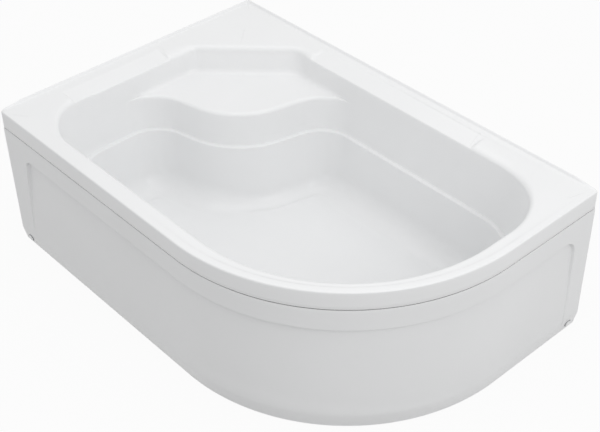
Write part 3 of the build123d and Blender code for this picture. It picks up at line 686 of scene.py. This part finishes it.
class Finish:
    """One material: a Principled shader whose sockets take numbers, colours or wires."""

    def __init__(self, name):
        self.material = bpy.data.materials.new(name)
        self.material.use_nodes = True
        self.tree = self.material.node_tree
        self.shader = next(n for n in self.tree.nodes if n.type == "BSDF_PRINCIPLED")

    def node(self, kind, settings=None, values=None, output=0):
        """Add a node: settings first, then the values or wires of its sockets."""
        made = self.tree.nodes.new(kind)
        for key, value in (settings or {}).items():
            if key == "stops":
                ramp = made.color_ramp
                for place, (position, colour) in enumerate(value):
                    stop = ramp.elements[place] if place < 2 else ramp.elements.new(position)
                    stop.position = position
                    stop.color = (*colour, 1.0)
            else:
                setattr(made, key, value)
        for key, value in (values or {}).items():
            self.feed(made.inputs[key], value)
        return Wire(self, made.outputs[output])

    def feed(self, socket, value):
        """Link a wire to a socket, or set the socket's own value."""
        if isinstance(value, Wire):
            self.tree.links.new(value.socket, socket)
        elif socket.type == "RGBA" and len(value) == 3:
            socket.default_value = (*value, 1.0)
        else:
            socket.default_value = value

    def place(self, scale=(1.0, 1.0, 1.0), turn=(0.0, 0.0, 0.0)):
        """Object coordinates, stretched and turned."""
        where = self.node("ShaderNodeTexCoord", output="Object")
        return self.node(
            "ShaderNodeMapping", None, {"Vector": where, "Scale": scale, "Rotation": turn}
        )

    def noise(self, scale, detail=4.0, roughness=0.5, where=None, output="Fac"):
        where = where or self.place()
        return self.node(
            "ShaderNodeTexNoise",
            None,
            {"Vector": where, "Scale": scale, "Detail": detail, "Roughness": roughness},
            output,
        )

    def cells(self, scale, feature="F1", where=None, output="Distance"):
        where = where or self.place()
        return self.node(
            "ShaderNodeTexVoronoi", {"feature": feature}, {"Vector": where, "Scale": scale}, output
        )

    def span(self, value, low, high, start=0.0, end=1.0):
        """The value from low..high, carried to start..end and held there."""
        return self.node(
            "ShaderNodeMapRange",
            {"clamp": True},
            {"Value": value, "From Min": low, "From Max": high, "To Min": start, "To Max": end},
        )

    def mix(self, factor, first, second):
        """Two colours mixed by a factor."""
        return self.node(
            "ShaderNodeMix", {"data_type": "RGBA"}, {"Factor": factor, 6: first, 7: second}, 2
        )

    def ramp(self, value, stops):
        return self.node("ShaderNodeValToRGB", {"stops": stops}, {"Fac": value})

    def bump(self, height, strength, distance, normal=None):
        values = {"Height": height, "Strength": strength, "Distance": distance}
        if normal is not None:
            values["Normal"] = normal
        return self.node("ShaderNodeBump", None, values)

    def near_line(self, start, end):
        """Distance in plan to a line: |p - v t| with p the point less the start, v the line
        and t the share p.v / v.v, held between 0 and 1."""
        start = Vector((*start, 0.0)) * METRE
        line = Vector((*end, 0.0)) * METRE - start
        maths = "ShaderNodeVectorMath"
        flat = self.place(scale=(1.0, 1.0, 0.0))
        point = self.node(maths, {"operation": "SUBTRACT"}, {0: flat, 1: tuple(start)})
        along = tuple(line / line.length_squared)
        share = self.node(maths, {"operation": "DOT_PRODUCT"}, {0: point, 1: along}, "Value")
        share = self.span(share, 0.0, 1.0)
        near = self.node(maths, {"operation": "SCALE"}, {0: tuple(line), "Scale": share})
        return self.node(maths, {"operation": "DISTANCE"}, {0: point, 1: near}, "Value")

    def set(self, **values):
        """Feed the shader's sockets: Base_Color stands for Base Color."""
        for key, value in values.items():
            self.feed(self.shader.inputs[key.replace("_", " ")], value)
        return self.material


def shade(colour, factor):
    return tuple(channel * factor for channel in colour)


def acrylic(name, colour, gloss, creases=()):
    """Moulded sheet: nearly even colour with a faint milky drift, a slow waviness and short
    raised lines from the mould, fine polish marks in the roughness and a thin clear skin."""
    finish = Finish(name)
    drift = finish.noise(3.2, 3.0)
    dust = finish.noise(55.0, 5.0, 0.6)
    colour_wire = finish.mix(finish.span(drift, 0.3, 0.7), shade(colour, 0.975), colour)
    polish = finish.noise(240.0, 3.0, where=finish.place(scale=(1.0, 0.35, 1.0)))
    rough = gloss + 0.05 * dust + 0.03 * polish
    wavy = finish.bump(finish.noise(7.0, 2.0), 0.06, 0.004)
    fine = finish.bump(finish.noise(900.0, 2.0), 0.02, 0.0004, wavy)
    for start, end in creases:
        ridge = finish.span(finish.near_line(start, end), 0.0, 0.0022, 1.0, 0.0)
        fine = finish.bump(ridge, 0.7, 0.0008, fine)
    return finish.set(
        Base_Color=colour_wire,
        Roughness=rough,
        Normal=fine,
        IOR=1.49,
        Coat_Weight=0.1,
        Coat_Roughness=0.08,
    )


def backing(name):
    """Fibre-filled resin sprayed on the tray's back: matt, with chopped strands and dips."""
    finish = Finish(name)
    lengthwise = finish.place(scale=(1.0, 0.25, 1.0), turn=(0.3, 0.2, 0.8))
    crosswise = finish.place(scale=(0.25, 1.0, 1.0), turn=(0.1, 0.4, 0.4))
    strands = finish.noise(95.0, 6.0, 0.7, lengthwise)
    cross = finish.noise(95.0, 6.0, 0.7, crosswise)
    mat = finish.span(strands * cross, 0.12, 0.42)
    colour = finish.mix(mat, (0.60, 0.58, 0.50), (0.74, 0.73, 0.68))
    return finish.set(
        Base_Color=colour,
        Roughness=finish.span(mat, 0.0, 1.0, 0.75, 0.5),
        Normal=finish.bump(mat, 0.5, 0.0016),
    )


def chipboard(name):
    """Pressed chips: cells of several browns, flat chips drawn out along the board."""
    finish = Finish(name)
    where = finish.place(scale=(1.0, 1.6, 2.6), turn=(0.0, 0.0, 0.4))
    chips = finish.cells(150.0, where=where, output="Color")
    edges = finish.cells(150.0, "DISTANCE_TO_EDGE", where)
    tone = finish.ramp(
        finish.noise(6.0, 2.0) * 0.35 + 0.65 * finish.node("ShaderNodeRGBToBW", None, {0: chips}),
        ((0.1, (0.22, 0.13, 0.07)), (0.9, (0.60, 0.44, 0.27)), (0.5, (0.42, 0.29, 0.16))),
    )
    gap = finish.span(edges, 0.0, 0.08)
    colour = finish.mix(gap, (0.12, 0.07, 0.04), tone)
    return finish.set(
        Base_Color=colour, Roughness=0.82 - 0.08 * gap, Normal=finish.bump(gap, 0.35, 0.0007)
    )


def softwood(name):
    """Sawn block: growth rings as bands bent by noise, with fine pores along the grain."""
    finish = Finish(name)
    bend = finish.noise(14.0, 3.0, where=finish.place(scale=(0.25, 1.0, 1.0)), output="Color")
    shifted = finish.node(
        "ShaderNodeVectorMath",
        {"operation": "MULTIPLY_ADD"},
        {0: bend, 1: (0.02, 0.02, 0.02), 2: finish.place()},
    )
    rings = finish.node(
        "ShaderNodeTexWave",
        {"wave_type": "RINGS", "rings_direction": "X"},
        {"Vector": shifted, "Scale": 34.0, "Distortion": 1.5, "Detail": 2.0},
        "Fac",
    )
    pores = finish.noise(420.0, 3.0, 0.6, finish.place(scale=(0.08, 1.0, 1.0)))
    colour = finish.mix(rings, (0.62, 0.43, 0.24), (0.38, 0.22, 0.10))
    return finish.set(
        Base_Color=colour,
        Roughness=0.6 + 0.2 * pores,
        Normal=finish.bump(pores + 0.4 * rings, 0.3, 0.0004),
    )


def powder_coat(name, colour):
    """Powder paint on steel tube: an even colour over a fine orange-peel texture."""
    finish = Finish(name)
    peel = finish.noise(520.0, 2.0)
    drift = finish.noise(9.0, 3.0)
    return finish.set(
        Base_Color=finish.mix(finish.span(drift, 0.35, 0.65), shade(colour, 0.93), colour),
        Roughness=0.38 + 0.12 * peel,
        Normal=finish.bump(peel, 0.25, 0.0005),
    )


def zinc(name):
    """Zinc plate on steel: pale metal whose crystals differ in tone and gloss."""
    finish = Finish(name)
    crystals = finish.cells(420.0, output="Color")
    grey = finish.node("ShaderNodeRGBToBW", None, {0: crystals})
    haze = finish.noise(40.0, 4.0)
    colour = finish.mix(grey * 0.6 + haze * 0.4, (0.46, 0.47, 0.48), (0.70, 0.71, 0.70))
    return finish.set(
        Base_Color=colour,
        Metallic=1.0,
        Roughness=0.28 + 0.16 * grey + 0.1 * haze,
        Normal=finish.bump(finish.noise(260.0, 3.0), 0.1, 0.0003),
    )


def black_plastic_and_seam_shade(name):
    """Moulded black plastic: a fine spark texture, greyer where it catches the light. Its near-black
    also colours the strip in the panel's seam, where it paints the seam's shade.
    """
    finish = Finish(name)
    spark = finish.noise(700.0, 3.0, 0.6)
    drift = finish.noise(18.0, 3.0)
    return finish.set(
        Base_Color=finish.mix(drift, (0.018, 0.018, 0.019), (0.032, 0.032, 0.033)),
        Roughness=0.45 + 0.14 * spark,
        Normal=finish.bump(spark, 0.3, 0.0003),
    )


def blend_surfaces(tree, factor, first, second, output):
    """The first surface where the factor is 0, and the second where it is 1."""
    blend = tree.nodes.new("ShaderNodeMixShader")
    for socket, into in zip((factor, first, second), blend.inputs):
        tree.links.new(socket, into)
    tree.links.new(blend.outputs[0], output.inputs["Surface"])


def studio_floor(name):
    """Pale floor: its own colour in the light, and near white where a camera, mirror or glass
    ray sees it, so that only the object's shadow darkens it."""
    finish = Finish(name)
    grain = finish.noise(3.0, 2.0)
    colour = finish.mix(grain, shade(FLOOR_COLOUR, 0.99), FLOOR_COLOUR)
    finish.set(Base_Color=colour, Roughness=0.9)
    glow = {"Color": (1.0, 1.0, 1.0), "Strength": FLOOR_GLOW}
    glow = finish.node("ShaderNodeEmission", None, glow)
    ray = finish.node("ShaderNodeLightPath", output="Is Camera Ray")
    mirror = finish.node("ShaderNodeLightPath", output="Is Glossy Ray")
    glass = finish.node("ShaderNodeLightPath", output="Is Transmission Ray")
    seen = (ray + mirror + glass) * FLOOR_BRIGHT
    output = next(n for n in finish.tree.nodes if n.type == "OUTPUT_MATERIAL")
    blend_surfaces(finish.tree, seen.socket, finish.shader.outputs[0], glow.socket, output)
    return finish.material


# Properties

LENGTH = {"unit": "LENGTH", "subtype": "DISTANCE"}


class TraySizes(bpy.types.PropertyGroup):
    """Sizes of the moulded tray that a user may change."""

    rim_edge: FloatProperty(
        name="Rim edge", description="Radius of the rim's open edge", default=0.004,
        min=0.001, max=0.01, **LENGTH,
    )
    seat_roll: FloatProperty(
        name="Seat front", description="Radius that the seat rolls over into its front",
        default=0.009, min=0.004, max=0.02, **LENGTH,
    )
    seat_back_fillet: FloatProperty(
        name="Seat back", description="Radius between the seat and the wall behind it",
        default=0.014, min=0.004, max=0.03, **LENGTH,
    )
    ledge_width: FloatProperty(
        name="Ledge", description="Width of the thin ledge round the basin", default=0.012,
        min=0.002, max=0.018, **LENGTH,
    )
    floor_fillet: FloatProperty(
        name="Floor fillet", description="Radius between wall and floor", default=0.058,
        min=0.02, max=0.06, **LENGTH,
    )
    floor_fillet_tight: FloatProperty(
        name="Floor fillet at seat", description="Radius under the seat's bulge", default=0.036,
        min=0.01, max=0.06, **LENGTH,
    )


class PanelSizes(bpy.types.PropertyGroup):
    """Sizes of the front panel and its covers that a user may change."""

    field_depth: FloatProperty(
        name="Field depth", description="How deep the field is sunk at its top", default=0.010,
        min=0.0, max=0.012, **LENGTH,
    )
    field_edge: FloatProperty(
        name="Field edge", description="Width of the soft step round the field", default=0.0045,
        min=0.001, max=0.02, **LENGTH,
    )
    field_sweep: FloatProperty(
        name="Field sweep", description="Height over which the field's top eases in",
        default=0.012, min=0.005, max=0.12, **LENGTH,
    )
    cover_height: FloatProperty(
        name="Cover height", description="How far a screw cover stands out", default=0.0036,
        min=0.003, max=0.0036, **LENGTH,
    )


class Finishes(bpy.types.PropertyGroup):
    """Colours of the finishes and the level of the studio light."""

    acrylic: FloatVectorProperty(
        name="Acrylic", description="Colour of the tray's acrylic", subtype="COLOR",
        default=(0.875, 0.88, 0.885), min=0.0, max=1.0,
    )
    panel: FloatVectorProperty(
        name="Panel", description="Colour of the front panel", subtype="COLOR",
        default=(0.855, 0.86, 0.865), min=0.0, max=1.0,
    )
    steel_paint: FloatVectorProperty(
        name="Frame paint", description="Colour of the steel frame", subtype="COLOR",
        default=(0.52, 0.54, 0.56), min=0.0, max=1.0,
    )
    lamp: FloatProperty(
        name="Lamp", description="Power of the large lamp overhead; the side lamp follows it",
        default=16.0, min=0.0, max=500.0, unit="POWER",
    )
    sky: FloatProperty(
        name="Sky", description="Level of the even light from all round", default=0.75,
        min=0.0, max=2.0, subtype="FACTOR",
    )


def settings():
    return bpy.context.scene.shower_tray


class ShowerTray(bpy.types.PropertyGroup):
    """All settings of the shower tray."""

    tray: PointerProperty(type=TraySizes, name="Tray", description="Sizes of the tray")
    panel: PointerProperty(type=PanelSizes, name="Panel", description="Sizes of the panel")
    finishes: PointerProperty(type=Finishes, name="Finishes", description="Colours and light")


# Operators


class TRAY_OT_shell(bpy.types.Operator):
    """Build the tray's moulded shell"""

    bl_idname = "shower_tray.shell"
    bl_label = "Tray shell"

    def execute(self, context):
        mesh, back = tray_surface(settings().tray)
        skins = (
            acrylic("acrylic_skin", settings().finishes.acrylic, 0.26, CREASES),
            backing("fibre_backing"),
        )
        piece = place_piece("tray_skin", mesh, skins, "tray", ("tray_shell",))
        piece.data.polygons.foreach_set("material_index", back)
        return {"FINISHED"}


class TRAY_OT_panel(bpy.types.Operator):
    """Build the front panel with its sunk field"""

    bl_idname = "shower_tray.panel"
    bl_label = "Front panel"

    def execute(self, context):
        mesh = panel_surface(settings().panel)
        skin = acrylic("panel_skin", settings().finishes.panel, 0.3)
        place_piece("panel_skin", mesh, (skin,), "tray", ("front_panel",))
        # near-black strip in the seam between band and panel: painted shade of the gap
        seam_shade_finish = black_plastic_and_seam_shade("painted_seam_shade")
        place_piece("seam_shade_strip", seam_shade_surface(), (seam_shade_finish,), "tray", ())
        return {"FINISHED"}


class TRAY_OT_covers(bpy.types.Operator):
    """Build the two caps over the panel's screws"""

    bl_idname = "shower_tray.covers"
    bl_label = "Screw covers"

    def execute(self, context):
        skins = (
            acrylic("cover_skin", settings().finishes.acrylic, 0.3),
            # dark grey on each cap's ring and groove: painted shade of the gap round the cap
            acrylic("cover_gap_shade", (0.25, 0.25, 0.26), 0.5),
        )
        sizes = settings().panel
        for name, s, node in (
            ("left_cap", CAP_FROM_END, "left_screw_cover"),
            ("right_cap", PANEL_LENGTH - CAP_FROM_END, "right_screw_cover"),
        ):
            # the cap stands square to the slanted panel
            heights = np.array((CAP_HEIGHT, CAP_HEIGHT + 1.0))
            inset, above = panel_inset(np.array(s), heights, sizes)
            point, normal = panel_path(np.array(s))
            centre = (*(point + normal * inset), CAP_HEIGHT)
            mesh = cover_surface(centre, (*-normal, above - inset), sizes)
            place_piece(name, mesh, skins, "tray", (node,))
        return {"FINISHED"}


class TRAY_OT_finishes(bpy.types.Operator):
    """Give every carried-over part of the frame and fixings its finish"""

    bl_idname = "shower_tray.finishes"
    bl_label = "Frame and fixings"

    def execute(self, context):
        steel = zinc("zinc_plate")
        plastic = black_plastic_and_seam_shade("black_moulding")
        paint = powder_coat("frame_paint_coat", settings().finishes.steel_paint)
        finishes = {
            "base_board": chipboard("pressed_chips"),
            "rim_blocks": softwood("sawn_softwood"),
            "left_cross_rail": paint,
            "right_cross_rail": paint,
            "front_long_rail": paint,
            "back_long_rail": paint,
            "rail_plugs": plastic,
            "cover_cups": acrylic("cup_moulding", settings().finishes.panel, 0.3),
        }
        for name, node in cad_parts.items():
            if name in ("tray_shell", "front_panel", "left_screw_cover", "right_screw_cover"):
                continue
            material = plastic if name.startswith("foot_") else finishes.get(name, steel)
            node.data.materials.clear()
            node.data.materials.append(material)
        return {"FINISHED"}


class TRAY_OT_stage(bpy.types.Operator):
    """Lay the floor, hang the lamps and set the camera"""

    bl_idname = "shower_tray.stage"
    bl_label = "Stage"

    def execute(self, context):
        scene = context.scene
        scene.view_settings.view_transform = "Standard"
        self.lay_floor()
        self.light(settings().finishes)
        self.aim_camera(scene)
        return {"FINISHED"}

    def lay_floor(self):
        """A flat disc of rings about the object: r grows from row to row."""
        turn = np.linspace(0, 2 * pi, 96, endpoint=False)
        radius = np.array((10.0, 400.0, 1500.0, 6000.0, 14000.0))
        points = np.stack(
            [
                radius[:, None] * np.cos(turn),
                radius[:, None] * np.sin(turn),
                np.zeros((len(radius), len(turn))),
            ],
            axis=-1,
        )[::-1]
        mesh, _ = grid_mesh("floor", points, wrap_columns=True)
        mesh.materials.append(studio_floor("floor_paper"))
        floor = bpy.data.objects.new("floor", mesh)
        bpy.context.scene.collection.objects.link(floor)

    def light(self, level):
        """Even white light, white where the camera sees it, and the large soft lamps."""
        world = bpy.data.worlds.new("studio")
        bpy.context.scene.world = world
        world.use_nodes = True
        tree = world.node_tree
        tree.nodes.clear()
        path = tree.nodes.new("ShaderNodeLightPath")
        seen = tree.nodes.new("ShaderNodeMath")
        seen.operation = "MAXIMUM"
        tree.links.new(path.outputs["Is Camera Ray"], seen.inputs[0])
        tree.links.new(path.outputs["Is Transmission Ray"], seen.inputs[1])
        skies = []
        for strength in (level.sky, 1.0):
            sky = tree.nodes.new("ShaderNodeBackground")
            sky.inputs["Color"].default_value = (1.0, 1.0, 1.0, 1.0)
            sky.inputs["Strength"].default_value = strength
            skies.append(sky.outputs[0])
        output = tree.nodes.new("ShaderNodeOutputWorld")
        blend_surfaces(tree, seen.outputs[0], *skies, output)
        for name, place, size, share in LAMPS:
            data = bpy.data.lights.new(name, "AREA")
            data.shape = "DISK"
            data.size = size
            data.energy = share * level.lamp
            lamp = bpy.data.objects.new(name, data)
            aim = (Vector(place) - Vector(LAMP_TARGET)).to_track_quat("Z", "Y")
            lamp.matrix_world = Matrix.Translation(place) @ aim.to_matrix().to_4x4()
            bpy.context.scene.collection.objects.link(lamp)

    def aim_camera(self, scene):
        """Camera fitted to the photo: axes from its forward and right directions and roll."""
        data = bpy.data.cameras.new("camera")
        data.sensor_width = 36.0
        data.lens = LENS
        data.clip_end = 100.0
        camera = bpy.data.objects.new("camera", data)
        forward = Vector(CAMERA_FORWARD).normalized()
        right = Vector(CAMERA_RIGHT).normalized()
        up = right.cross(forward)
        roll = radians(CAMERA_ROLL)
        across = right * cos(roll) + up * sin(roll)
        upright = up * cos(roll) - right * sin(roll)
        turn = Matrix((across, upright, -forward)).transposed()
        camera.matrix_world = Matrix.Translation(CAMERA_PLACE) @ turn.to_4x4()
        scene.collection.objects.link(camera)
        scene.camera = camera


class TRAY_PT_sidebar(bpy.types.Panel):
    """Shows the shower tray's settings and its build steps"""

    bl_idname = "TRAY_PT_sidebar"
    bl_label = "Shower Tray"
    bl_space_type = "VIEW_3D"
    bl_region_type = "UI"
    bl_category = "Shower Tray"

    def draw(self, context):
        choices = context.scene.shower_tray
        for group in (choices.tray, choices.panel, choices.finishes):
            box = self.layout.box()
            for name in group.__annotations__:
                box.prop(group, name)
        for operator in OPERATORS:
            self.layout.operator(operator.bl_idname)


OPERATORS = (TRAY_OT_shell, TRAY_OT_panel, TRAY_OT_covers, TRAY_OT_finishes, TRAY_OT_stage)
CLASSES = (TraySizes, PanelSizes, Finishes, ShowerTray, *OPERATORS, TRAY_PT_sidebar)


def register():
    for item in CLASSES:
        bpy.utils.register_class(item)
    bpy.types.Scene.shower_tray = PointerProperty(type=ShowerTray)


def unregister():
    del bpy.types.Scene.shower_tray
    for item in reversed(CLASSES):
        bpy.utils.unregister_class(item)


def main():
    register()
    for operator in OPERATORS:
        group, name = operator.bl_idname.split(".")
        getattr(getattr(bpy.ops, group), name)()


if __name__ == "__main__":
    main()
